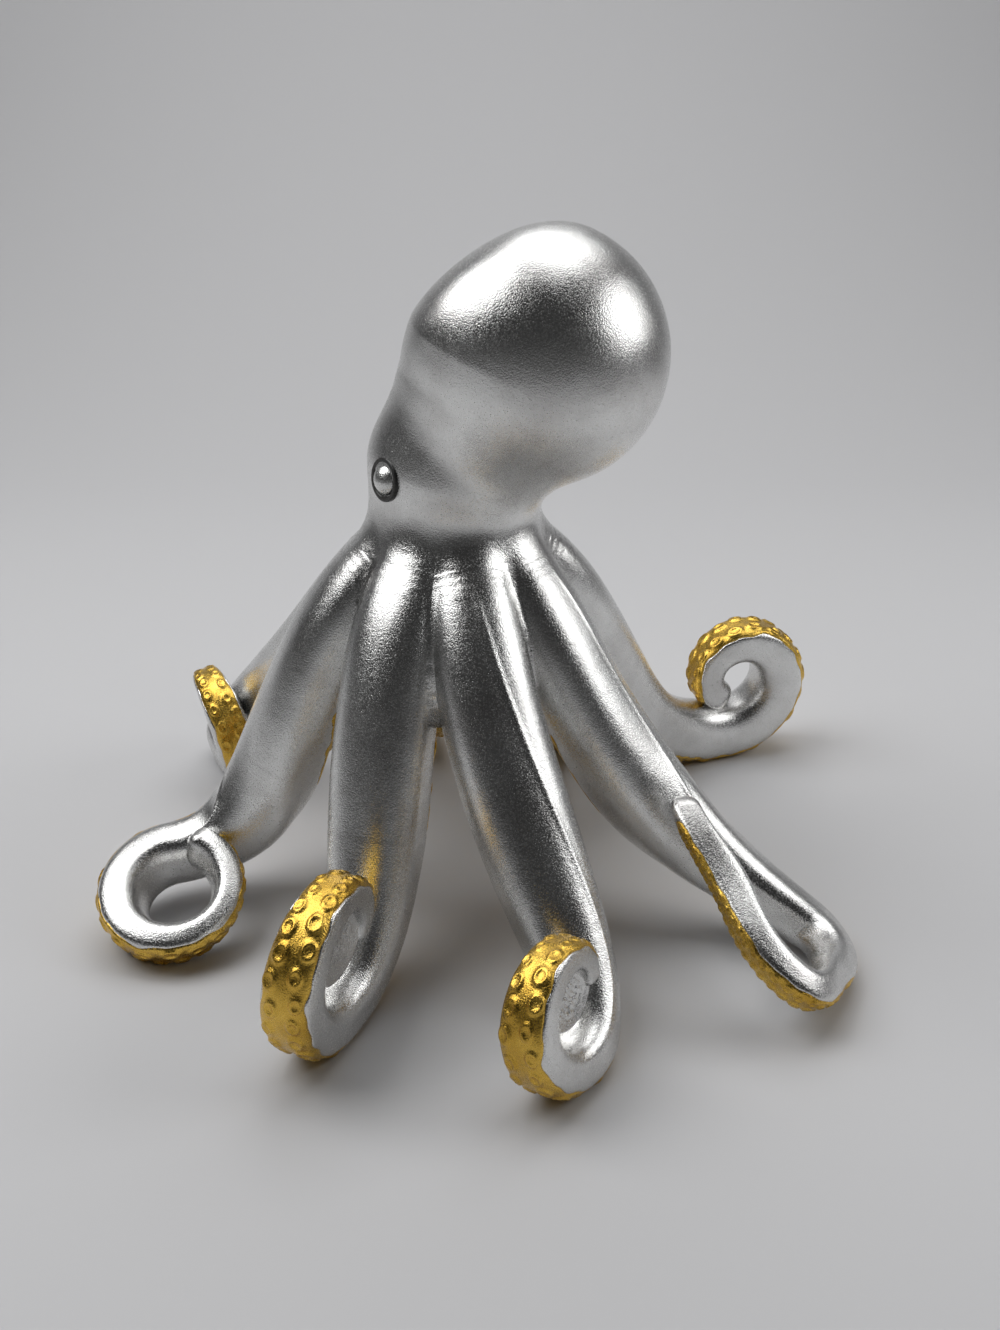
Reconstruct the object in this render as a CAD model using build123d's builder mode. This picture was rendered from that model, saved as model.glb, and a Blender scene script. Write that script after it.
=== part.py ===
from build123d import *
import os
from dataclasses import dataclass
from math import ceil, cos, radians, sin

# Octopus figurine: a hollow mantle on a core block, with eight curled arms pinned round the core.
# Lengths are in millimetres and angles in degrees. Azimuths turn from +X towards +Y.

# Core block that carries the mantle and the arms
hub_x = -11.3
hub_y = 2.1
core_radius = 11.0
core_depth = 34.0
spigot_radius = 15.0
spigot_height = 13.0
fit_clearance = 0.15
glue_gap = 0.2

# Mantle: a round bulb leaning back over the face and neck
neck_height = 134.0
bulb_radius = 41.0
bulb_lift = 13.5
bulb_rise = bulb_radius + bulb_lift
bulb_setback = 13.5
bulb_lean = bulb_radius - bulb_setback
lean_azimuth = -10.0
shell_wall = 5.0
drain_radius = 7.0

# Front and back of the mantle's round sections, as lean and rise from the neck's centre
mantle_outline_shares = (
    (-0.67, 0.0, 0.65, 0.0),
    (-0.68, 0.34, 0.70, 0.18),
    (-0.65, 0.49, 0.77, 0.27),
    (-0.57, 0.68, 0.90, 0.35),
    (-0.46, 1.02, 1.29, 0.55),
    (-0.40, 1.41, 1.61, 0.90),
    (-0.20, 1.79, 1.66, 1.37),
)
eye_outline_shares = mantle_outline_shares[2]

# Eyes: a black rim round a domed pupil on each side of the face
eye_spread = 47.5
rim_radius = 7.0
rim_height = 3.4
rim_wall = 1.6
eye_seat_depth = 2.2
dome_base = 1.6
dome_rise = 4.2

# Arms: the shaft leaves the core, bows over a knee and comes down to a heel, where the curl begins
root_radius = 14.0
root_drop = 8.0
root_height = neck_height - root_drop
root_dip = 18.0
root_overlap = 9.0
root_handle = 28.0
knee_radius = 60.0
knee_height = 60.0
arm_reach = 120.0
heel_handle = 40.0
arm_half_width = 16.0
arm_half_height = 14.0
curl_radius = 24.0
bed_depth = 0.8
seam_gap = 0.3
parting_radius = 75.0

# Sucker strip glued along the underside of each arm
strip_thickness = 2.2
strip_crown = 0.6
strip_gap = 0.3

# Dowels that hold the arms to the core
pin_radius = 1.6
pin_length = 17.0
pin_start = 6.0

# Outline of an arm's section, in shares of its half width and half height
shoulder_x_share = 0.84
shoulder_y_share = 0.5
base_x_share = 0.8
base_y_share = 0.74
strip_width_share = 0.94
strip_foot_share = 0.86

# Half width and half height along the shaft and the curl, in shares of the largest
shaft_width_shares = ((0, 0.78), (0.25, 0.97), (0.5, 1.0), (0.8, 0.88), (1, 0.75))
shaft_height_shares = ((0, 0.82), (0.25, 0.96), (0.5, 1.0), (0.8, 0.93), (1, 0.82))
curl_width_shares = ((0, 0.75), (0.25, 0.7), (0.5, 0.61), (0.75, 0.5), (1, 0.25))
curl_height_shares = ((0, 0.82), (0.25, 0.68), (0.5, 0.57), (0.75, 0.46), (1, 0.23))
slimming_start_share = 0.55
twist_start_share = 0.35
outward_lean_share = 0.6

# Counts of sections
shaft_steps = 16
curl_step = 15.0
hands = (-1, 1)


@dataclass
class Arm:
    """One arm: its azimuths and angles, and its sizes in shares of the nominal arm."""

    name: str
    root: float
    knee: float
    knee_radius_share: float
    knee_height_share: float
    heel: float
    reach_share: float
    handle_share: float
    heading: float
    dip: float
    roll: float
    turn: float
    first_radius_share: float
    last_radius_share: float
    width_share: float
    height_share: float
    lift_share: float
    strip_step: int


arms = (
    Arm("right_rear", 18, 24, 1.03, 1.03, 38, 1.16, 1.2, 17, 0, -3, 316, 1.05, 0.46, 0.95, 1.0, 0, 6),
    Arm("rear_right", 63, 62, 1.0, 1.03, 64, 0.9, 1.0, 60, 2, -8, 308, 1.0, 0.5, 0.85, 0.9, 0, 6),
    Arm("rear_left", 106, 103, 1.0, 1.03, 102, 0.9, 1.0, 112, 2, 8, 308, 1.0, 0.5, 0.82, 0.88, 0, 6),
    Arm("left_rear", 151, 142, 1.3, 0.5, 144, 0.98, 1.2, 294, 0, -14, 250, 0.88, 0.5, 0.74, 0.74, 0, 16),
    Arm("left_front", 195, 195, 1.1, 1.0, 195, 0.85, 1.05, 196, 3, 112, 300, 0.86, 0.72, 0.95, 0.7, 0.4, 6),
    Arm("front_left", 240, 244, 1.0, 1.0, 249.5, 0.845, 0.9, 247, 4, 5, 294, 1.04, 0.58, 0.8, 0.88, 0, 6),
    Arm("front_right", 281, 276, 1.0, 0.97, 288, 1.01, 0.75, 236, 4, -8, 276, 0.85, 0.44, 0.76, 0.8, 0, 6),
    Arm("right_front", 325, 321, 0.93, 0.77, 336, 1.07, 1.05, 328, 24, -84, 236, 0.42, 1.9, 0.66, 0.6, -1, 6),
)


def direction(azimuth, dip=0.0):
    """Unit vector at an azimuth, pointing below the horizon by the dip."""
    around, down = radians(azimuth), radians(dip)
    return Vector(cos(around) * cos(down), sin(around) * cos(down), -sin(down))


def around_hub(azimuth, radius, height):
    """Point at an azimuth and radius from the hub axis."""
    return Vector(hub_x, hub_y, height) + direction(azimuth) * radius


def square_to(vector, axis):
    """Unit vector of the part of a vector that stands square to an axis."""
    return (vector - axis * vector.dot(axis)).normalized()


def taper(shares, at):
    """Value at a place in a table of (place, share) pairs, straight between them."""
    for (start, low), (end, high) in zip(shares, shares[1:]):
        if at <= end:
            return low + (high - low) * (at - start) / (end - start)
    return shares[-1][1]


def ease(start, at):
    """Smooth step from 0 at the start share to 1 at the end."""
    share = min(max((at - start) / (1 - start), 0), 1)
    return share * share * (3 - 2 * share)


def curl_axes(arm):
    """Heading of the arm at its heel, the direction it curls to, and the axis across the curl."""
    ahead = direction(arm.heading, arm.dip)
    left = direction(arm.heading + 90)
    roll = radians(arm.roll)
    inward = ahead.cross(left) * cos(roll) + left * sin(roll)
    return ahead, inward, ahead.cross(inward)


def curl_frame(arm, share):
    """Centre, tangent, back direction and half sizes of the curl, measured from the heel.

    The radius of curvature runs evenly from its first to its last value over the turn.
    """
    ahead, inward, across = curl_axes(arm)
    whole = radians(arm.turn)
    angle = whole * share
    first = curl_radius * arm.first_radius_share
    change = (curl_radius * arm.last_radius_share - first) / whole
    along = first * sin(angle) + change * (cos(angle) + angle * sin(angle) - 1)
    inside = first * (1 - cos(angle)) + change * (sin(angle) - angle * cos(angle))
    lift = curl_radius * arm.lift_share * share * share
    centre = ahead * along + inward * inside + across * lift
    tangent = ahead * cos(angle) + inward * sin(angle)
    back = inward * cos(angle) - ahead * sin(angle)
    width = arm_half_width * taper(curl_width_shares, share) * arm.width_share
    height = arm_half_height * taper(curl_height_shares, share) * arm.height_share
    return centre, tangent, back, width, height


def curl_shares(arm):
    """Even steps along the curl, no more than one curl step each."""
    steps = ceil(arm.turn / curl_step)
    return [step / steps for step in range(steps + 1)]


def low_points(width, height):
    """Points of an arm's section with its strip that can touch the ground, across and up its back."""
    base_x, base_y = width * base_x_share, height * base_y_share
    sole_y = base_y + strip_gap + strip_thickness
    points = [(0, -sole_y)]
    for hand in hands:
        points.append((hand * base_x * strip_foot_share, strip_crown - sole_y))
        points.append((hand * base_x, -base_y))
        points.append((hand * width, 0))
    return points


def heel_height(arm):
    """Height of the heel that lets the lowest part of the curl into the ground by the bed depth."""
    lowest = 0
    for share in curl_shares(arm):
        centre, tangent, back, width, height = curl_frame(arm, share)
        side = back.cross(tangent)
        for across, up in low_points(width, height):
            lowest = min(lowest, (centre + side * across + back * up).Z)
    return -lowest - bed_depth


def shaft_frame(arm, share, heel):
    """Centre, tangent, back direction and half sizes of the shaft, a curve of five control points."""
    ahead, inward, _ = curl_axes(arm)
    start = around_hub(arm.root, root_radius, root_height)
    knee = around_hub(arm.knee, knee_radius * arm.knee_radius_share, knee_height * arm.knee_height_share)
    points = [
        start,
        start + direction(arm.root, root_dip) * root_handle,
        knee,
        heel - ahead * (heel_handle * arm.handle_share),
        heel,
    ]
    left = 1 - share
    weights = (left**4, 4 * left**3 * share, 6 * left**2 * share**2, 4 * left * share**3, share**4)
    slopes = (left**3, 3 * left**2 * share, 3 * left * share**2, share**3)
    centre = sum((p * w for p, w in zip(points, weights)), Vector(0, 0, 0))
    steps = [after - before for before, after in zip(points, points[1:])]
    tangent = sum((s * w for s, w in zip(steps, slopes)), Vector(0, 0, 0)).normalized()
    outward = direction(arm.root) * outward_lean_share + Vector(0, 0, 1)
    twist = ease(twist_start_share, share)
    back = square_to(outward * (1 - twist) + inward * twist, tangent)
    slim = ease(slimming_start_share, share)
    width = arm_half_width * taper(shaft_width_shares, share) * (1 + slim * (arm.width_share - 1))
    height = arm_half_height * taper(shaft_height_shares, share) * (1 + slim * (arm.height_share - 1))
    return centre, tangent, back, width, height


def arm_stations(arm):
    """Section planes along an arm, from root to tip, with their half sizes."""
    heel = around_hub(arm.heel, arm_reach * arm.reach_share, heel_height(arm))
    frames = [shaft_frame(arm, step / shaft_steps, heel) for step in range(shaft_steps)]
    for share in curl_shares(arm):
        centre, tangent, back, width, height = curl_frame(arm, share)
        frames.append((heel + centre, tangent, back, width, height))
    stations = []
    for centre, tangent, back, width, height in frames:
        plane = Plane(origin=centre, x_dir=back.cross(tangent), z_dir=tangent)
        stations.append((plane, width, height))
    return stations


def arm_section(plane, width, height):
    """D-shaped section: a round back with its flat base on the sucker side."""
    shoulder_x, shoulder_y = width * shoulder_x_share, height * shoulder_y_share
    base_x, base_y = width * base_x_share, height * base_y_share
    with BuildSketch(plane) as section:
        with BuildLine():
            crown = ThreePointArc((-shoulder_x, shoulder_y), (0, height), (shoulder_x, shoulder_y))
            TangentArc(crown @ 1, (base_x, -base_y), tangent=crown % 1)
            Line((base_x, -base_y), (-base_x, -base_y))
            TangentArc(crown @ 0, (-base_x, -base_y), tangent=(crown % 0) * -1)
        make_face()
    return section.sketch


def strip_section(plane, width, height):
    """Flat strip below the base of an arm's section, with a slightly crowned sole."""
    top_x = width * base_x_share * strip_width_share
    foot_x = width * base_x_share * strip_foot_share
    top_y = -height * base_y_share - strip_gap
    foot_y = top_y - strip_thickness + strip_crown
    with BuildSketch(plane) as section:
        with BuildLine():
            Polyline((foot_x, foot_y), (top_x, top_y), (-top_x, top_y), (-foot_x, foot_y))
            ThreePointArc((-foot_x, foot_y), (0, foot_y - strip_crown), (foot_x, foot_y))
        make_face()
    return section.sketch


def pin_plane(arm, distance):
    """Plane square to an arm's dowel, at a distance along it from the hub axis."""
    axis = direction(arm.root, root_dip)
    start = around_hub(arm.root, root_radius, root_height) - axis * (root_radius / cos(radians(root_dip)))
    return Plane(origin=start + axis * distance, z_dir=axis)


def parting_sketches(index):
    """Plan of what lies past the upright planes halfway to the two neighbouring arms."""
    plans = []
    for hand in hands:
        here, beside = arms[index].root, arms[(index + hand) % len(arms)].root
        halfway = here + hand * ((hand * (beside - here)) % 360) / 2
        with BuildSketch(Plane(origin=(hub_x, hub_y, 0), x_dir=direction(halfway), z_dir=(0, 0, 1))) as plan:
            with Locations(((parting_radius - core_radius) / 2, hand * (parting_radius - seam_gap) / 2)):
                Rectangle(parting_radius + core_radius, parting_radius)
        plans.append(plan.sketch)
    return plans


def mantle_place(lean, rise):
    """Point in the mantle's upright middle plane, by its lean from the hub axis and rise from the neck."""
    return around_hub(lean_azimuth, lean, neck_height + rise)


def mantle_section(outline_shares):
    """Plane and radius of a round section of the mantle, with its x axis towards the face."""
    front_lean, front_rise, back_lean, back_rise = (bulb_radius * share for share in outline_shares)
    front, back = mantle_place(front_lean, front_rise), mantle_place(back_lean, back_rise)
    forward = front - back
    axis = forward.cross(direction(lean_azimuth - 90)).normalized()
    return Plane(origin=(front + back) / 2, x_dir=forward, z_dir=axis), forward.length / 2


def eye_plane(hand):
    """Plane on the floor of an eye's seat, facing out of the face."""
    plane, radius = mantle_section(eye_outline_shares)
    around = radians(hand * eye_spread)
    out = plane.x_dir * cos(around) + plane.y_dir * sin(around)
    return Plane(origin=plane.origin + out * (radius - eye_seat_depth), z_dir=out)


os.makedirs("parts", exist_ok=True)
hub_plane = Plane(origin=(hub_x, hub_y, neck_height))
bulb_centre = mantle_place(bulb_lean, bulb_rise)

# Mantle shell
with BuildPart() as mantle:
    for outline in mantle_outline_shares:
        plane, radius = mantle_section(outline)
        with BuildSketch(plane):
            Circle(radius)
    loft()
    with Locations(bulb_centre):
        Sphere(bulb_radius)
    with Locations(bulb_centre):
        Sphere(bulb_radius - shell_wall, mode=Mode.SUBTRACT)
    with BuildSketch(hub_plane):
        Circle(spigot_radius + fit_clearance)
    extrude(amount=spigot_height + fit_clearance, mode=Mode.SUBTRACT)
    with BuildSketch(hub_plane):
        Circle(drain_radius)
    extrude(amount=bulb_rise, mode=Mode.SUBTRACT)
    for hand in hands:
        with BuildSketch(eye_plane(hand)):
            Circle(rim_radius + fit_clearance)
        extrude(amount=rim_radius, mode=Mode.SUBTRACT)
mantle.part.label = "mantle"
export_step(mantle.part, "parts/mantle.step")

# Core block with a spigot for the mantle and a hole for each dowel
with BuildPart() as core:
    with BuildSketch(hub_plane):
        Circle(spigot_radius)
    extrude(amount=spigot_height)
    with BuildSketch(hub_plane):
        Circle(core_radius)
    extrude(amount=-core_depth)
    chamfer(core.edges().group_by(Axis.Z)[0], core_radius / 4)
    chamfer(core.edges().group_by(Axis.Z)[-1], (spigot_radius - core_radius) / 4)
    for arm in arms:
        with BuildSketch(pin_plane(arm, pin_start - fit_clearance)):
            Circle(pin_radius + fit_clearance)
        extrude(amount=pin_length, mode=Mode.SUBTRACT)
core.part.label = "core"
export_step(core.part, "parts/core.step")

# Dowels
with BuildPart() as arm_pins:
    for arm in arms:
        with BuildSketch(pin_plane(arm, pin_start)):
            Circle(pin_radius)
        extrude(amount=pin_length)
arm_pins.part.label = "arm_pins"
export_step(arm_pins.part, "parts/arm_pins.step")

# Eyes
for side, hand in (("far", -1), ("near", 1)):
    seat = eye_plane(hand)
    with BuildPart() as rim:
        with BuildSketch(seat):
            Circle(rim_radius)
            Circle(rim_radius - rim_wall, mode=Mode.SUBTRACT)
        extrude(amount=rim_height)
        fillet(rim.faces().sort_by(Axis(seat.origin, seat.z_dir))[-1].edges(), rim_wall / 3)
    rim.part.label = f"eye_rim_{side}"
    export_step(rim.part, f"parts/eye_rim_{side}.step")
    dome_radius = rim_radius - rim_wall - fit_clearance
    with BuildPart() as dome:
        with BuildSketch(Plane(origin=seat.origin, x_dir=seat.x_dir, z_dir=-seat.y_dir)):
            with BuildLine():
                Polyline((0, dome_base + dome_rise), (0, 0), (dome_radius, 0), (dome_radius, dome_base))
                TangentArc((0, dome_base + dome_rise), (dome_radius, dome_base), tangent=(1, 0))
            make_face()
        revolve(axis=Axis(seat.origin, seat.z_dir))
    dome.part.label = f"eye_dome_{side}"
    export_step(dome.part, f"parts/eye_dome_{side}.step")

# Arms and their sucker strips
for index, arm in enumerate(arms):
    with BuildPart() as limb:
        stations = arm_stations(arm)
        root_plane, root_width, root_half = stations[0]
        stations.insert(0, (root_plane.offset(-root_overlap), root_width, root_half))
        loft([arm_section(*station) for station in stations])
        with BuildSketch(hub_plane):
            Circle(core_radius + glue_gap)
        extrude(amount=core_depth + glue_gap, both=True, mode=Mode.SUBTRACT)
        for plan in parting_sketches(index):
            extrude(plan, amount=neck_height, mode=Mode.SUBTRACT)
        split(bisect_by=Plane.XY.offset(neck_height - glue_gap), keep=Keep.BOTTOM)
        split(bisect_by=Plane.XY, keep=Keep.TOP)
        with BuildSketch(pin_plane(arm, 0)):
            Circle(pin_radius + fit_clearance)
        extrude(amount=pin_start + pin_length + fit_clearance, mode=Mode.SUBTRACT)
    limb.part.label = f"arm_{arm.name}"
    export_step(limb.part, f"parts/arm_{arm.name}.step")
    with BuildPart() as strip:
        loft([strip_section(*station) for station in arm_stations(arm)[arm.strip_step:-1]])
        split(bisect_by=Plane.XY, keep=Keep.TOP)
    strip.part.label = f"sucker_strip_{arm.name}"
    export_step(strip.part, f"parts/sucker_strip_{arm.name}.step")
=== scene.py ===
import math

import bpy
import numpy as np
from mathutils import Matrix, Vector


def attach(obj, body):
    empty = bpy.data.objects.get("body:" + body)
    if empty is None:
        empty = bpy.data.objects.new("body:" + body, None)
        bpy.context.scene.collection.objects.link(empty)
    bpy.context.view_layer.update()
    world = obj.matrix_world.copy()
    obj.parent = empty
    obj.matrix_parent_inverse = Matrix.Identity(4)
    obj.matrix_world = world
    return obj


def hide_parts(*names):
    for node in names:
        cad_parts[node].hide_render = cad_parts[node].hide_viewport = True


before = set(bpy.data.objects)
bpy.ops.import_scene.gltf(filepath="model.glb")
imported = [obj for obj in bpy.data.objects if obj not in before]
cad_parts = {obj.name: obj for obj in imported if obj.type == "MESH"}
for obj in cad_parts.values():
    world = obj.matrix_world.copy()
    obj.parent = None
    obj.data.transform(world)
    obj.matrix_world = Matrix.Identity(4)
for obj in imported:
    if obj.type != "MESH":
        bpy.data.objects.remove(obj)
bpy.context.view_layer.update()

# Lengths below are in millimetres and angles in degrees; meshes are written in metres.
MM = 0.001
HUB = np.array([-11.3, 2.1, 0.0])
SEAM_Z = 128.0
SEAM_R = 24.0
NECK_Z = 134.0
CORE_R = 11.2
# How fast a skin sinks past a seam, and how far an arm's skin runs on past the plane to its neighbour
SINK = 0.25
SINK_REACH = 4.0
LAP = 3.0
LAP_GROWTH = 0.4
LAP_R = 58.0
# Mantle: direction it leans to, then the bulb's lean, rise and radius, and the flat on its upper far side
LEAN_AZIMUTH = -10.0
BULB = (27.5, 54.5, 40.8)
FLAT_REACH = 38.3
FLAT_DIRECTION = (-0.6, 0.34, 0.72)
# Balls up the face from the neck to the brow: lean, rise and radius
FACE_BALLS = ((0, -14, 26.5), (0, 8, 27.6), (1.5, 18, 29.3), (12.5, 42, 29.5), (18.5, 57, 35.6))
# Softness of the joins: ball to ball, face to bulb, flat to bulb, arm to arm and arm to head
FACE_BLEND, BULB_BLEND, FLAT_BLEND, ARM_BLEND, HEAD_BLEND = 2.0, 9.0, 20.0, 3.0, 10.0
ARM_W, ARM_H = 16.0, 14.0
ROOT_R, ROOT_Z, ROOT_DIP, ROOT_HANDLE = 14.0, 126.0, 18.0, 28.0
HEEL_HANDLE = 40.0
CURL_R = 24.0
REACH, KNEE_R, KNEE_Z = 120.0, 60.0, 60.0
BASE_X, BASE_Y = 0.8, 0.74
STRIP_GAP, STRIP_T, STRIP_CROWN, STRIP_FOOT = 0.3, 2.2, 0.6, 0.86
BED_DEPTH = 0.8
GOLD_RISE = 1.6
GOLD_EDGE = 0.7
GOLD_STEP = 0.42
CORNER_POWER = 3.4
RIDGE_RISE, RIDGE_WIDTH = 0.3, 0.9
SUCKER_RISE = 0.85
SUCKER_R = 2.7

SHAFT_WIDTH = ((0, 0.25, 0.5, 0.8, 1), (0.78, 0.97, 1.0, 0.88, 0.75))
SHAFT_HEIGHT = ((0, 0.25, 0.5, 0.8, 1), (0.82, 0.96, 1.0, 0.93, 0.82))
CURL_WIDTH = ((0, 0.25, 0.5, 0.75, 1), (0.75, 0.7, 0.61, 0.5))
CURL_HEIGHT = ((0, 0.25, 0.5, 0.75, 1), (0.82, 0.68, 0.57, 0.46))

# Each arm: root and knee azimuth, knee radius and height, heel azimuth, reach, handle, heading, dip, roll,
# turn, first and last curl radius, width, height, lift, and where its gold strip starts on the shaft
ARMS = {
    "right_rear": (18, 24, 1.03, 1.03, 38, 1.16, 1.2, 17, 0, -3, 316, 1.05, 0.46, 0.95, 1.0, 0, 0.32),
    "rear_right": (63, 62, 1.0, 1.03, 64, 0.9, 1.0, 60, 2, -8, 308, 1.0, 0.5, 0.85, 0.9, 0, 0.32),
    "rear_left": (106, 103, 1.0, 1.03, 102, 0.9, 1.0, 112, 2, 8, 308, 1.0, 0.5, 0.82, 0.88, 0, 0.32),
    "left_rear": (151, 142, 1.3, 0.5, 144, 0.98, 1.2, 294, 0, -14, 250, 0.88, 0.5, 0.74, 0.74, 0, 1.0),
    "left_front": (195, 195, 1.1, 1.0, 195, 0.85, 1.05, 196, 3, 112, 300, 0.86, 0.72, 0.95, 0.7, 0.4, 0.32),
    "front_left": (240, 244, 1.0, 1.0, 249.5, 0.845, 0.9, 247, 4, 5, 294, 1.04, 0.58, 0.8, 0.88, 0, 0.32),
    "front_right": (281, 276, 1.0, 0.97, 288, 1.01, 0.75, 236, 4, -8, 276, 0.85, 0.44, 0.76, 0.8, 0, 0.32),
    "right_front": (325, 321, 0.93, 0.77, 336, 1.07, 1.05, 328, 24, -84, 236, 0.42, 1.9, 0.66, 0.6, -1, 0.32),
}
NAMES = list(ARMS)

# How each curl is filled: thickness towards its middle and near its tip, thickness left at the tip,
# section twist, shift, sway and how far it wraps on past its turn
CURLS = {
    "right_rear": (1.2, 1.25, 0.42, 0, 0, 0, 9),
    "rear_right": (1.1, 1.1, 0.34, 0, 0, 0, 0),
    "rear_left": (1.1, 1.1, 0.34, 0, 0, 0, 0),
    "left_rear": (0.9, 0.9, 0.36, 0, 0, 0, 0),
    "left_front": (1.05, 1.1, 0.46, 18, 1.2, 0, 24),
    "front_left": (0.8, 0.8, 0.36, 0, 0, 0, 0),
    "front_right": (0.75, 0.75, 0.36, 0, 0, 0, 0),
    "right_front": (1.3, 2.4, 0.3, -30, 0, 8.0, 0),
}
# Curls whose middle is closed by a dish: its radius
DISHES = {"left_rear": 10.0, "front_left": 14.0, "front_right": 11.5}
# Fine ridges on the flanks, as section angles at the root and at the heel
RIDGES = {
    "left_front": (150, 165),
    "front_left": (150, 170),
    "front_right": (95, 30),
    "right_front": (75, 60),
}


def unit(v):
    """Vectors scaled to length one along the last axis."""
    return v / np.maximum(np.linalg.norm(v, axis=-1, keepdims=True), 1e-9)


def heading(azimuth, dip=0.0):
    """Unit vector at an azimuth, pointing below the horizon by the dip."""
    a, d = np.radians(azimuth), np.radians(dip)
    return np.array([np.cos(a) * np.cos(d), np.sin(a) * np.cos(d), -np.sin(d)])


def at(azimuth, radius, height):
    """Point at an azimuth, a radius from the hub axis and a height."""
    return HUB + heading(azimuth) * radius + np.array([0, 0, height])


def ease(x):
    """Smooth step of x from 0 to 1."""
    x = np.clip(x, 0, 1)
    return x * x * (3 - 2 * x)


def smin(a, b, k):
    """Smooth minimum: the lower of two fields, rounded where they are within k of each other."""
    h = np.clip(0.5 + 0.5 * (b - a) / k, 0, 1)
    return b + (a - b) * h - k * h * (1 - h)


def section_radius(angle, width, back, depth, power):
    """Polar radius of an arm's section: half an oval to the back, half a squarer oval to the sucker side."""
    c, s = np.cos(angle), np.sin(angle)
    upper = (np.abs(c / width) ** power + np.abs(s / back) ** power) ** (-1 / power)
    lower = (np.abs(c / width) ** CORNER_POWER + np.abs(s / depth) ** CORNER_POWER) ** (-1 / CORNER_POWER)
    return np.where(s > 0, upper, lower)


class Limb:
    """Centre line of an arm with its frames: a five-point curve for the shaft, then a spiral curl."""

    def __init__(self, name, shaft_n=120, curl_n=170):
        (root, knee, knee_r, knee_z, heel_az, reach, handle, head, dip, roll, turn, first, last,
         wide, high, lift, self.strip_start) = ARMS[name]
        inner, inner_tip, tip, twist_deg, shift, sway, wrap = CURLS[name]
        self.root = root
        ahead, left = heading(head, dip), heading(head + 90)
        up = np.cross(ahead, left)
        inward = up * np.cos(np.radians(roll)) + left * np.sin(np.radians(roll))
        across = np.cross(ahead, inward)
        v = np.linspace(0, 1 + wrap / turn, curl_n)[:, None]
        whole = np.radians(turn)
        a = whole * v
        r0, dr = CURL_R * first, (CURL_R * last - CURL_R * first) / whole
        curl = ahead * (r0 * np.sin(a) + dr * (np.cos(a) + a * np.sin(a) - 1))
        curl = curl + inward * (r0 * (1 - np.cos(a)) + dr * (np.sin(a) - a * np.cos(a)))
        curl = curl + across * (CURL_R * lift * v * v)
        curl_t = ahead * np.cos(a) + inward * np.sin(a)
        curl_n_dir = inward * np.cos(a) - ahead * np.sin(a)
        cw = ARM_W * np.interp(v[:, 0], CURL_WIDTH[0], (*CURL_WIDTH[1], tip)) * wide
        ch = ARM_H * np.interp(v[:, 0], CURL_HEIGHT[0], (*CURL_HEIGHT[1], tip)) * high
        side = np.cross(curl_n_dir, curl_t)
        sole = BASE_Y * ch + STRIP_GAP + STRIP_T
        low = curl[:, 2] - sole * curl_n_dir[:, 2]
        for x, y in ((BASE_X * STRIP_FOOT, None), (BASE_X, BASE_Y), (1.0, 0.0)):
            drop = sole - STRIP_CROWN if y is None else y * ch
            low = np.minimum(low, curl[:, 2] - drop * curl_n_dir[:, 2] - np.abs(x * cw * side[:, 2]))
        heel = at(heel_az, REACH * reach, -low.min() - BED_DEPTH)
        wave = np.sin(2 * np.pi * (v - 0.4) / 0.6) * ease((v - 0.4) / 0.2)
        curl = curl + curl_n_dir * (shift * ease(3 * v) - sway * wave)
        u = np.linspace(0, 1, shaft_n, endpoint=False)[:, None]
        start = at(root, ROOT_R, ROOT_Z)
        p = [start, start + heading(root, ROOT_DIP) * ROOT_HANDLE, at(knee, KNEE_R * knee_r, KNEE_Z * knee_z),
             heel - ahead * (HEEL_HANDLE * handle), heel]
        w = 1 - u
        shaft = w**4 * p[0] + 4 * w**3 * u * p[1] + 6 * w**2 * u**2 * p[2] + 4 * w * u**3 * p[3] + u**4 * p[4]
        shaft_t = unit(w**3 * (p[1] - p[0]) + 3 * w**2 * u * (p[2] - p[1]) + 3 * w * u**2 * (p[3] - p[2])
                       + u**3 * (p[4] - p[3]))
        twist = ease((u - 0.35) / 0.65)
        back = (heading(root) * 0.6 + np.array([0, 0, 1.0])) * (1 - twist) + inward * twist
        back = unit(back - shaft_t * (back * shaft_t).sum(1, keepdims=True))
        slim = ease((u[:, 0] - 0.55) / 0.45)
        sw = ARM_W * np.interp(u[:, 0], *SHAFT_WIDTH) * (1 + slim * (wide - 1))
        sh = ARM_H * np.interp(u[:, 0], *SHAFT_HEIGHT) * (1 + slim * (high - 1))
        self.u = np.r_[u[:, 0], 1 + v[:, 0]]
        self.centre = np.vstack([shaft, heel + curl])
        self.tangent = np.vstack([shaft_t, curl_t])
        self.back = np.vstack([back, curl_n_dir])
        turned = np.radians(twist_deg) * ease((self.u - 0.8) / 0.5)[:, None]
        across_arm = np.cross(self.back, self.tangent)
        self.side = across_arm * np.cos(turned) + self.back * np.sin(turned)
        self.back = self.back * np.cos(turned) - across_arm * np.sin(turned)
        self.width = smooth(np.r_[sw, cw])
        height = smooth(np.r_[sh, ch])
        fill = inner + (inner_tip - inner) * ease((self.u - 1.5) / 0.3)
        self.rise = height * (1 + (fill - 1) * ease((self.u - 0.7) / 0.45))
        self.depth = BASE_Y * height + GOLD_RISE * ease((self.u - self.strip_start + 0.04) / 0.1)
        self.power = 2.35 + 0.75 * ease((self.u - 0.8) / 0.4)
        self.axes = ahead, inward, across
        self.length = np.r_[0, np.cumsum(np.linalg.norm(np.diff(self.centre, axis=0), axis=1))]

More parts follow.
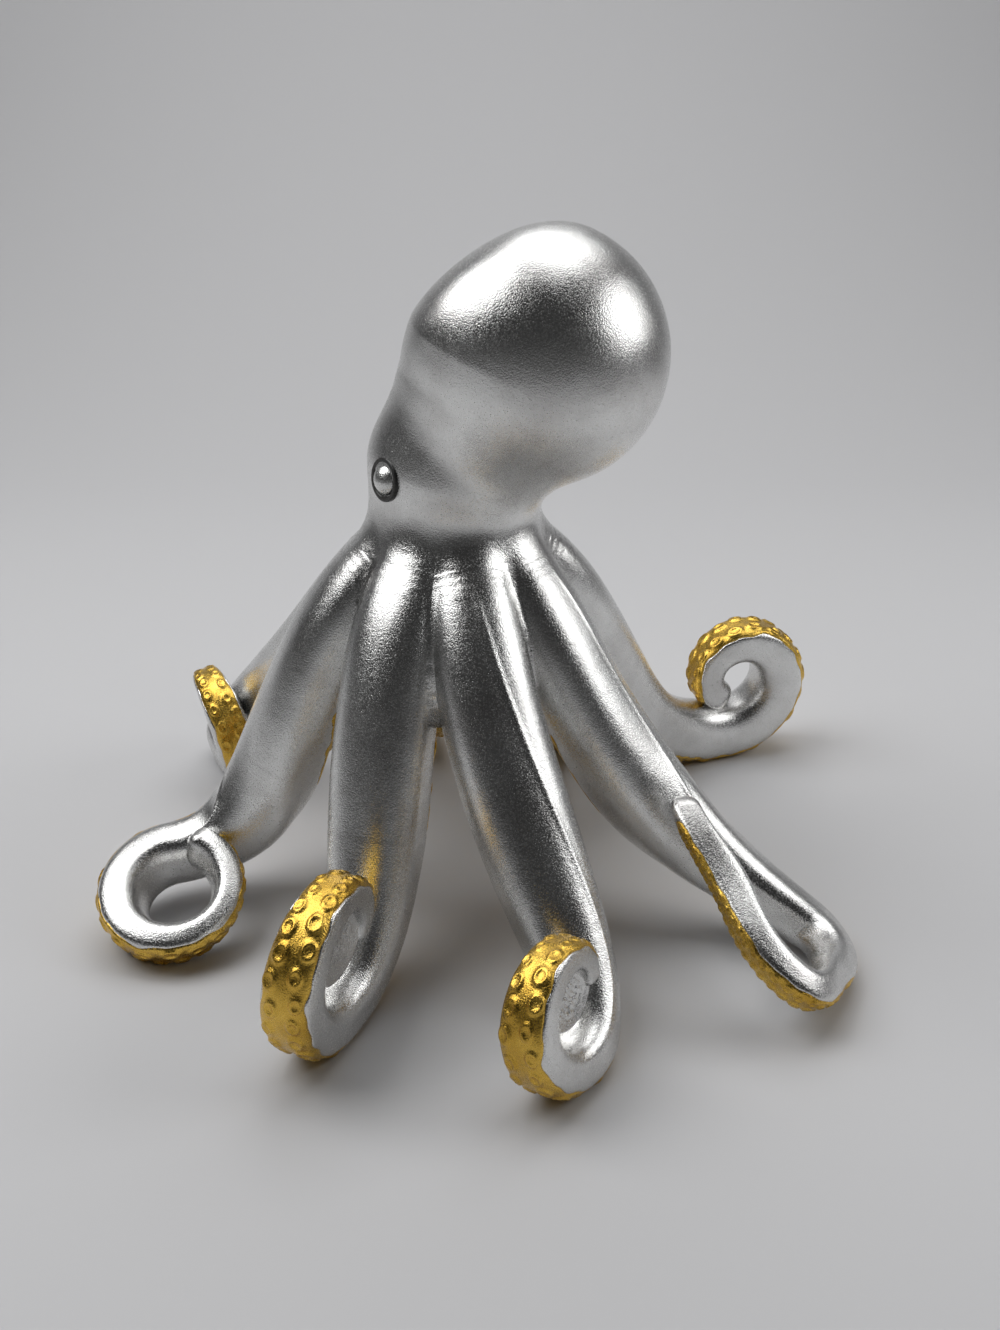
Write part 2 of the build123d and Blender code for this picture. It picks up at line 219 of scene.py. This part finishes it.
    def field(self, p):
        """Signed distance, nearly, from points to the arm's skin.

        It is the distance to the centre line less the radius of the section.
        """
        pick = slice(0, 110, 2)
        c, t = self.centre[pick], self.tangent[pick]
        near = ((p * p).sum(1)[:, None] + (c * c).sum(1)[None] - 2 * p @ c.T).argmin(1)
        q = p - c[near]
        x = (q * self.side[pick][near]).sum(1)
        y = (q * self.back[pick][near]).sum(1)
        shape = (self.width, self.rise, self.depth, self.power)
        r = section_radius(np.arctan2(y, x), *(a[pick][near] for a in shape))
        behind = np.where(near == 0, -(q * t[near]).sum(1) - 4, -1e3)
        return np.maximum(np.hypot(x, y) - r, behind)

    def gold_edge(self, s):
        """Angle below the flank where the gold starts, at lengths along the arm.

        It is a constant share of the depth plus three small waves, and closes in a round tongue at each end.
        """
        width, depth = (np.interp(s, self.length, a) for a in (self.width, self.depth))
        share = GOLD_EDGE + 0.05 * np.sin(s / 3.7) + 0.04 * np.sin(s / 1.9 + 1) + 0.03 * np.sin(s / 1.1 + 2)
        edge = np.arctan2(share * depth, width * (1 - share**CORNER_POWER) ** (1 / CORNER_POWER))
        first, last = np.interp(self.strip_start, self.u, self.length), self.length[-4]
        grow = np.sqrt(np.clip((s - first) / 14, 0, 1)) * np.sqrt(np.clip((last - s) / 3, 0, 1))
        return edge + (np.pi / 2 - edge) * (1 - grow)


def smooth(x, rounds=6):
    """Running mean of three, repeated, with the ends kept."""
    for _ in range(rounds):
        x = np.r_[x[0], (x[:-2] + x[1:-1] + x[2:]) / 3, x[-1]]
    return x


LIMBS = {name: Limb(name) for name in NAMES}
LEAN = heading(LEAN_AZIMUTH)
ACROSS = heading(LEAN_AZIMUTH - 90)


def mantle_place(lean, rise):
    """Point in the mantle's middle plane."""
    return HUB + LEAN * lean + np.array([0, 0, NECK_Z + rise])


def head_field(p):
    """Smooth union of the bulb and of balls up the face, flattened on its upper far side."""
    q = p - mantle_place(*BULB[:2])
    bulb = np.linalg.norm(q, axis=1) - BULB[2]
    face = np.full(len(p), 1e3)
    for (l0, z0, r0), (l1, z1, r1) in zip(FACE_BALLS, FACE_BALLS[1:]):
        a, b = mantle_place(l0, z0), mantle_place(l1, z1)
        t = np.clip((p - a) @ (b - a) / ((b - a) @ (b - a)), 0, 1)
        reach = np.linalg.norm(p - a - t[:, None] * (b - a), axis=1)
        face = smin(face, reach - r0 - t * (r1 - r0), FACE_BLEND)
    flat = q @ unit(np.array(FLAT_DIRECTION)) - FLAT_REACH
    return -smin(-smin(bulb, face, BULB_BLEND), -flat, FLAT_BLEND)


def skin_field(p, names):
    """Smooth union of the head and the named arms."""
    out = LIMBS[names[0]].field(p)
    for name in names[1:]:
        out = smin(out, LIMBS[name].field(p), ARM_BLEND)
    return smin(out, head_field(p), HEAD_BLEND)


def cast(origin, ray, field, reach=60.0, steps=30):
    """Distance along each ray to where the field first turns positive, by a march and then halving."""
    n = len(origin)
    low, high = np.zeros(n), np.full(n, reach)
    found = np.zeros(n, bool)
    for t in np.linspace(reach / steps, reach, steps):
        todo = np.flatnonzero(~found)
        if not len(todo):
            break
        out = field(origin[todo] + ray[todo] * t) > 0
        high[todo[out]] = t
        low[todo[~out]] = t
        found[todo[out]] = True
    for _ in range(13):
        mid = (low + high) / 2
        out = field(origin + ray * mid[:, None]) > 0
        high = np.where(out, mid, high)
        low = np.where(out, low, mid)
    return (low + high) / 2


def grid_mesh(name, grids, material):
    """Closed surfaces over grids of closed rings, each with a fan on its first and last ring's centre."""
    verts, quads, fans, rims, start = [], [], [], [], 0
    for points in grids:
        rows, cols = points.shape[:2]
        ends = np.array([points[0].mean(0), points[-1].mean(0)])
        grid = np.vstack([points.reshape(-1, 3), ends]) * MM
        i, j = np.meshgrid(np.arange(rows - 1), np.arange(cols), indexing="ij")
        k = (j + 1) % cols
        quad = np.stack([i * cols + j, i * cols + k, (i + 1) * cols + k, (i + 1) * cols + j], -1)
        quad = quad.reshape(-1, 4)
        c, n = np.arange(cols), (np.arange(cols) + 1) % cols
        last = (rows - 1) * cols
        fan = np.vstack([np.stack([n, c, np.full(cols, rows * cols)], -1),
                         np.stack([last + c, last + n, np.full(cols, rows * cols + 1)], -1)])
        if (grid[quad[:, 0]] * np.cross(grid[quad[:, 1]], grid[quad[:, 2]])).sum() < 0:
            quad, fan = quad[:, ::-1], fan[:, ::-1]
        verts.append(grid)
        quads.append(quad + start)
        fans.append(fan + start)
        rims.append(np.r_[np.ones(cols), np.zeros((rows - 2) * cols), np.ones(cols), 0, 0] > 0)
        start += len(grid)
    verts, quads, fans, rims = (np.concatenate(a) for a in (verts, quads, fans, rims))
    mesh = bpy.data.meshes.new(name)
    loops = np.r_[quads.ravel(), fans.ravel()]
    counts = np.r_[np.full(len(quads), 4), np.full(len(fans), 3)]
    mesh.vertices.add(len(verts))
    mesh.vertices.foreach_set("co", verts.ravel())
    mesh.loops.add(len(loops))
    mesh.loops.foreach_set("vertex_index", loops.astype(np.int32))
    mesh.polygons.add(len(counts))
    mesh.polygons.foreach_set("loop_start", np.r_[0, np.cumsum(counts)[:-1]].astype(np.int32))
    mesh.update(calc_edges=True)
    mesh.validate()
    mesh.polygons.foreach_set("use_smooth", np.ones(len(counts), bool))
    edges = np.empty(2 * len(mesh.edges), np.int32)
    mesh.edges.foreach_get("vertices", edges)
    sharp = rims[edges.reshape(-1, 2)].all(1)
    mesh.attributes.new("sharp_edge", "BOOLEAN", "EDGE").data.foreach_set("value", sharp)
    obj = bpy.data.objects.new(name, mesh)
    bpy.context.scene.collection.objects.link(obj)
    mesh.materials.append(material)
    return obj


def on_root(obj, node):
    """Rides on the only body and stands for its CAD node, which it hides."""
    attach(obj, "root")
    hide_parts(node)
    return obj


def node_material(name, colour, dark, metallic, rough, grain, dent):
    """Leafed metal: colour broken by darker worn patches, with a fine grain and shallow dents as bump."""
    mat = bpy.data.materials.new(name)
    mat.use_nodes = True
    tree = mat.node_tree
    shader = tree.nodes["Principled BSDF"]
    shader.inputs["Metallic"].default_value = metallic
    coord = tree.nodes.new("ShaderNodeTexCoord")

    def noise(scale, detail, rough_share):
        node = tree.nodes.new("ShaderNodeTexNoise")
        node.inputs["Scale"].default_value = scale
        node.inputs["Detail"].default_value = detail
        node.inputs["Roughness"].default_value = rough_share
        tree.links.new(coord.outputs["Object"], node.inputs["Vector"])
        return node

    def ramp(source, low, high, a, b):
        node = tree.nodes.new("ShaderNodeMapRange")
        node.inputs["From Min"].default_value = low
        node.inputs["From Max"].default_value = high
        node.inputs["To Min"].default_value = a
        node.inputs["To Max"].default_value = b
        tree.links.new(source, node.inputs["Value"])
        return node

    worn = noise(45, 6, 0.6)
    worn_ramp = ramp(worn.outputs["Fac"], 0.42, 0.7, 0.0, 1.0)
    mix = tree.nodes.new("ShaderNodeMix")
    mix.data_type = "RGBA"
    mix.inputs["A"].default_value = (*colour, 1)
    mix.inputs["B"].default_value = (*dark, 1)
    tree.links.new(worn_ramp.outputs["Result"], mix.inputs["Factor"])
    tree.links.new(mix.outputs["Result"], shader.inputs["Base Color"])
    fine = noise(2100, 2, 0.6)
    rough_ramp = ramp(fine.outputs["Fac"], 0.3, 0.7, rough - 0.08, rough + 0.12)
    tree.links.new(rough_ramp.outputs["Result"], shader.inputs["Roughness"])
    broad = noise(120, 3, 0.5)
    bump_a = tree.nodes.new("ShaderNodeBump")
    bump_a.inputs["Strength"].default_value = 1.0
    bump_a.inputs["Distance"].default_value = dent
    tree.links.new(broad.outputs["Fac"], bump_a.inputs["Height"])
    bump_b = tree.nodes.new("ShaderNodeBump")
    bump_b.inputs["Strength"].default_value = 1.0
    bump_b.inputs["Distance"].default_value = grain
    tree.links.new(fine.outputs["Fac"], bump_b.inputs["Height"])
    tree.links.new(bump_a.outputs["Normal"], bump_b.inputs["Normal"])
    tree.links.new(bump_b.outputs["Normal"], shader.inputs["Normal"])
    return mat


silver = node_material("silver_leaf", (0.78, 0.78, 0.77), (0.6, 0.59, 0.58), 1.0, 0.2, 0.00013, 0.00015)
gold = node_material("gold_leaf", (0.8, 0.52, 0.1), (0.5, 0.29, 0.04), 1.0, 0.26, 0.00015, 0.0003)
eye_black = node_material("eye_black", (0.02, 0.02, 0.02), (0.05, 0.045, 0.04), 0.0, 0.3, 0.0001, 0.0001)
eye_silver = node_material("eye_silver", (0.75, 0.75, 0.74), (0.6, 0.6, 0.59), 1.0, 0.25, 0.0001, 0.0002)
resin = node_material("core_resin", (0.6, 0.58, 0.54), (0.5, 0.48, 0.45), 0.0, 0.7, 0.0001, 0.0002)
steel = node_material("pin_steel", (0.55, 0.55, 0.55), (0.4, 0.4, 0.4), 1.0, 0.35, 0.0001, 0.0001)


def build_mantle(rows=70, fan_rows=70, cols=208):
    """Rays from a line of centres that climbs the face, then a fan from the bulb's centre.

    Each ray ends on the blended skin. Below the seam the skin sinks a little, under the tops of the arms.
    """
    centres = np.array([(0, -11), (0.4, 10.7), (2.5, 15.6), (6.8, 21.1), (17, 32.2), (24.8, 47.4), BULB[:2]])
    tilts = np.array([0, 6.6, 8.8, 12.6, 15, 14.2, 12.7])
    blend_rise = 24
    key = np.r_[0, np.cumsum(np.linalg.norm(np.diff(centres, axis=0), axis=1))]
    s = np.linspace(0, key[-1], rows)
    lean, rise, tilt = (np.interp(s, key, k) for k in (centres[:, 0], centres[:, 1], tilts))
    tilt = smooth(tilt)
    lift = np.r_[np.zeros(rows), np.linspace(0, 90, fan_rows + 2)[1:-1]]
    lean, rise, tilt = (np.r_[k, np.full(fan_rows, k[-1])] for k in (lean, rise, tilt))
    phi = np.linspace(0, 2 * np.pi, cols, endpoint=False)
    up = np.array([0, 0, 1.0])
    tr = np.radians(tilt)[:, None]
    fore = LEAN * np.cos(tr) - up * np.sin(tr)
    axis = LEAN * np.sin(tr) + up * np.cos(tr)
    flat = np.cos(phi)[None, :, None] * fore[:, None] + np.sin(phi)[None, :, None] * ACROSS
    e = np.radians(lift)[:, None, None]
    ray = np.cos(e) * flat + np.sin(e) * axis[:, None]
    origin = HUB + lean[:, None] * LEAN + (NECK_Z + rise)[:, None] * up
    origin = np.broadcast_to(origin[:, None], ray.shape)

    def neck_field(p):
        return skin_field(p, NAMES) + SINK * np.maximum(SEAM_Z - p[:, 2], 0)

    t = np.zeros(ray.shape[:2])
    for part, field in ((rise < blend_rise, neck_field), (rise >= blend_rise, head_field)):
        t[part] = cast(origin[part].reshape(-1, 3), ray[part].reshape(-1, 3), field).reshape(-1, cols)
    return grid_mesh("mantle_skin", [origin + ray * t[..., None]], silver)


def build_dish(limb, radius, rows=30, cols=90):
    """Closed disc in the middle of a curl: both faces hollowed by a parabola and crinkled by a few waves."""
    ahead, inward, across = limb.axes
    inside = limb.centre[-90:] + limb.back[-90:] * (limb.rise[-90:] + 3)[:, None]
    middle = (inside.min(0) + inside.max(0)) / 2
    r = radius * np.r_[np.linspace(0.01, 1, rows), np.linspace(1, 0.01, rows)][:, None]
    hand = np.r_[np.ones(rows), -np.ones(rows)][:, None]
    a = np.linspace(0, 2 * np.pi, cols, endpoint=False)[None]
    x, y = r * np.cos(a), r * np.sin(a)
    crinkle = np.sin(1.9 * x + 1.3 * np.sin(1.1 * y)) * np.sin(1.6 * y + 1.7 * np.sin(0.9 * x))
    crinkle = crinkle + 0.5 * np.sin(3.1 * x - 2.3 * y)
    half = 0.06 * radius + 0.2 * radius * (r / radius) ** 2 + 0.35 * crinkle * (1 - (r / radius) ** 2)
    return middle + x[..., None] * ahead + y[..., None] * inward + (hand * half)[..., None] * across


def build_arm(name, cols=144):
    """Rays from the arm's centre line to the blended skin, which sinks past the planes to its neighbours.

    The first rings fan from the level seam under the head to square across the arm. Where gold covers it,
    the skin drops by the thickness of the gold. A fine ridge runs along the flank.
    """
    limb = LIMBS[name]
    i = NAMES.index(name)
    before, after = NAMES[i - 1], NAMES[(i + 1) % len(NAMES)]
    centre, back, side, u = limb.centre.copy(), limb.back.copy(), limb.side, limb.u
    w = ease(u / 0.26)[:, None]
    seam = at(limb.root, SEAM_R, SEAM_Z)
    centre = centre * w + (seam + (centre - limb.centre[0]) * 0.4) * (1 - w)
    centre[0] = seam
    back = unit(back * w + heading(limb.root) * (1 - w))
    side = unit(side - back * (side * back).sum(1, keepdims=True))
    side[0] = heading(limb.root + 90) * np.sign(side[0] @ heading(limb.root + 90))
    phi = np.linspace(0, 2 * np.pi, cols, endpoint=False)
    ray = np.cos(phi)[None, :, None] * side[:, None] + np.sin(phi)[None, :, None] * back[:, None]
    t = section_radius(phi[None], *(a[:, None] for a in (limb.width, limb.rise, limb.depth, limb.power)))
    planes = []
    for other, hand in ((before, -1), (after, 1)):
        gap = (hand * (LIMBS[other].root - limb.root)) % 360
        planes.append(heading(limb.root + hand * gap / 2 + hand * 90))

    def field(p):
        out = skin_field(p, [name, before, after])
        r = np.hypot(p[:, 0] - HUB[0], p[:, 1] - HUB[1])
        for n in planes:
            past = (p - HUB) @ n
            lap = LAP + LAP_GROWTH * np.maximum(r - LAP_R, 0)
            out = np.maximum(out + SINK * np.clip(past, 0, SINK_REACH), past - lap)
        return np.maximum(out, CORE_R - r)

    near = u < 0.6
    origin = np.broadcast_to(centre[:, None], ray.shape)
    t[near] = cast(origin[near].reshape(-1, 3), ray[near].reshape(-1, 3), field).reshape(-1, cols)
    if name in RIDGES:
        line = np.radians(np.interp(u, (0.1, 1.0), RIDGES[name]))[:, None]
        fade = (ease((u - 0.1) / 0.12) * ease((1.0 - u) / 0.2))[:, None]
        t = t + RIDGE_RISE * fade * np.exp(-((t * np.sin((phi[None] - line) / 2) * 2 / RIDGE_WIDTH) ** 2))
    below = np.minimum(2 * np.pi - phi, phi - np.pi)[None]
    cover = (below - limb.gold_edge(limb.length)[:, None]) * t
    t = t - GOLD_RISE * ease(cover / 0.9)
    points = origin + ray * t[..., None]
    swell = np.linspace(0.3, 1.45, 6)
    tip = limb.centre[-1] + limb.tangent[-1] * limb.rise[-1] * np.sin(swell)[:, None]
    cap = tip[:, None] + (points[-1] - centre[-1])[None] * np.cos(swell)[:, None, None]
    points = np.vstack([points, cap])
    points[..., 2] = np.maximum(points[..., 2], 0)
    grids = [points]
    if name in DISHES:
        grids.append(build_dish(limb, DISHES[name]))
    return grid_mesh("arm_" + name + "_skin", grids, silver)


def build_strip(name, lower=56, upper=10):
    """Closed gold band flush with the arm's flanks.

    Its outer side is the lower part of the arm's section, raised by two staggered rows of ring suckers: each
    ring is a bell curve of the distance from a circle. Its inner side lies a little under the arm's skin.
    """
    limb = LIMBS[name]
    s = np.arange(np.interp(limb.strip_start, limb.u, limb.length), limb.length[-4], GOLD_STEP)

    def pull(a):
        return np.stack([np.interp(s, limb.length, a[:, k]) for k in range(3)], -1)

    centre, back, side = pull(limb.centre), unit(pull(limb.back)), unit(pull(limb.side))
    shape = (limb.width, limb.rise, limb.depth, limb.power)
    width, rise, depth, power = (np.interp(s, limb.length, a)[:, None] for a in shape)
    edge = limb.gold_edge(s)[:, None]
    share = np.linspace(0, 1, lower)[None]
    phi = -edge - (np.pi - 2 * edge) * share
    radius = section_radius(phi, width, rise, depth, power)
    x = radius * np.cos(phi)
    inside = np.minimum(-phi, np.pi + phi) - edge
    bead = 0.45 * ease(inside * radius / 0.8) - 0.35
    ring = np.clip(0.27 * width, 0.8, SUCKER_R)
    count = np.cumsum(GOLD_STEP / (2.6 * ring))[:, None]
    bump = np.zeros_like(radius)
    for row in (-1, 1):
        turn = count + 0.25 * row
        k = np.round(turn)
        size = ring * (1 + 0.14 * np.sin(5.3 * k + row))
        along = (turn - k + 0.1 * np.sin(7.1 * k + 2 * row)) * 2.6 * ring
        over = x - (0.45 * row + 0.09 * np.sin(3.7 * k + row)) * width
        r = np.hypot(along, over) / size
        bump = np.maximum(bump, np.exp(-(((r - 0.72) / 0.27) ** 2)) + 0.15 * np.exp(-((r / 0.3) ** 2)))
    full = ease((s - s[0]) / 9)[:, None] * ease((s[-1] - s) / 3)[:, None]
    outer = radius + bead + SUCKER_RISE * bump * full * ease(inside * radius / 1.5) * (ring / SUCKER_R)
    back_phi = phi[:, ::-1][:, :: lower // upper]
    back_inside = np.minimum(-back_phi, np.pi + back_phi) - edge
    back_radius = section_radius(back_phi, width, rise, depth, power)
    inner = back_radius - 0.45 - 0.85 * ease(back_inside * back_radius / 1.5)
    angle, reach = np.concatenate([phi, back_phi], 1), np.concatenate([outer, inner], 1)
    ray = np.cos(angle)[..., None] * side[:, None] + np.sin(angle)[..., None] * back[:, None]
    points = centre[:, None] + reach[..., None] * ray
    points[..., 2] = np.maximum(points[..., 2], 0)
    return grid_mesh("sucker_strip_" + name + "_skin", [points], gold)


on_root(build_mantle(), "mantle")
for arm_name in NAMES:
    on_root(build_arm(arm_name), "arm_" + arm_name)
    on_root(build_strip(arm_name), "sucker_strip_" + arm_name)

for node, material, slot in (
    ("core", resin, "core_resin"),
    ("arm_pins", steel, "pin_steel"),
    ("eye_rim_far", eye_black, "eye_black"),
    ("eye_rim_near", eye_black, "eye_black"),
    ("eye_dome_far", eye_silver, "eye_silver"),
    ("eye_dome_near", eye_silver, "eye_silver"),
):
    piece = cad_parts[node]
    piece.data.materials.clear()
    piece.data.materials.append(material)


def build_floor():
    """Level floor that turns up into a wall in a quarter circle behind the figurine."""
    turn = np.linspace(0, np.pi / 2, 25)
    radius, back = 0.5, 0.45
    y = np.r_[-3.0, back + radius * np.sin(turn), back + radius]
    z = np.r_[0.0, radius * (1 - np.cos(turn)), 4.0]
    x = np.array([-4.0, 4.0])
    points = np.stack(np.broadcast_arrays(x[None], y[:, None], z[:, None]), -1)
    mesh = bpy.data.meshes.new("floor")
    n = len(y)
    quads = [(2 * k, 2 * k + 1, 2 * k + 3, 2 * k + 2) for k in range(n - 1)]
    mesh.from_pydata(points.reshape(-1, 3).tolist(), [], quads)
    mesh.polygons.foreach_set("use_smooth", np.ones(n - 1, bool))
    floor = bpy.data.objects.new("floor", mesh)
    bpy.context.scene.collection.objects.link(floor)
    mat = bpy.data.materials.new("floor")
    mat.use_nodes = True
    mat.node_tree.nodes["Principled BSDF"].inputs["Base Color"].default_value = (0.55, 0.55, 0.56, 1)
    mat.node_tree.nodes["Principled BSDF"].inputs["Roughness"].default_value = 0.7
    mesh.materials.append(mat)


def area_light(name, place, target, size, power):
    """Square soft light at a place, turned to face a target."""
    data = bpy.data.lights.new(name, "AREA")
    data.size = size
    data.energy = power
    lamp = bpy.data.objects.new(name, data)
    lamp.location = place
    lamp.rotation_mode = "QUATERNION"
    lamp.rotation_quaternion = (Vector(target) - Vector(place)).to_track_quat("-Z", "Y")
    bpy.context.scene.collection.objects.link(lamp)


build_floor()
area_light("key", (-0.55, 0.0, 0.9), (0, 0, 0.1), 0.7, 6)
area_light("fill", (0.8, 0.0, 0.55), (0, 0, 0.1), 0.5, 2.5)
area_light("top", (0.1, 0.35, 1.1), (0, 0, 0.1), 0.9, 6)

# Studio: a dim grey all round that fades to dark overhead
scene = bpy.context.scene
world = bpy.data.worlds.new("studio")
world.use_nodes = True
sky = world.node_tree.nodes["Background"]
sky.inputs["Strength"].default_value = 1.0
direction = world.node_tree.nodes.new("ShaderNodeTexCoord")
height = world.node_tree.nodes.new("ShaderNodeSeparateXYZ")
fade = world.node_tree.nodes.new("ShaderNodeMapRange")
fade.interpolation_type = "SMOOTHSTEP"
for socket, value in (("From Min", -0.1), ("From Max", 0.4), ("To Min", 0.12), ("To Max", 0.03)):
    fade.inputs[socket].default_value = value
world.node_tree.links.new(direction.outputs["Generated"], height.inputs["Vector"])
world.node_tree.links.new(height.outputs["Z"], fade.inputs["Value"])
world.node_tree.links.new(fade.outputs["Result"], sky.inputs["Color"])
scene.world = world
scene.view_settings.view_transform = "Standard"

# Camera: looks down at the figurine from the front
camera = bpy.data.objects.new("camera", bpy.data.cameras.new("camera"))
target = Vector((HUB[0] + 15, HUB[1], 80)) * MM
tilt = math.radians(25)
place = target + Vector((0, -math.cos(tilt), math.sin(tilt))) * 0.47
camera.location = place
camera.rotation_mode = "QUATERNION"
camera.rotation_quaternion = (target - place).to_track_quat("-Z", "Y")
camera.data.sensor_width = 36
camera.data.lens = 36.54
camera.data.clip_start, camera.data.clip_end = 0.01, 50
scene.collection.objects.link(camera)
scene.camera = camera
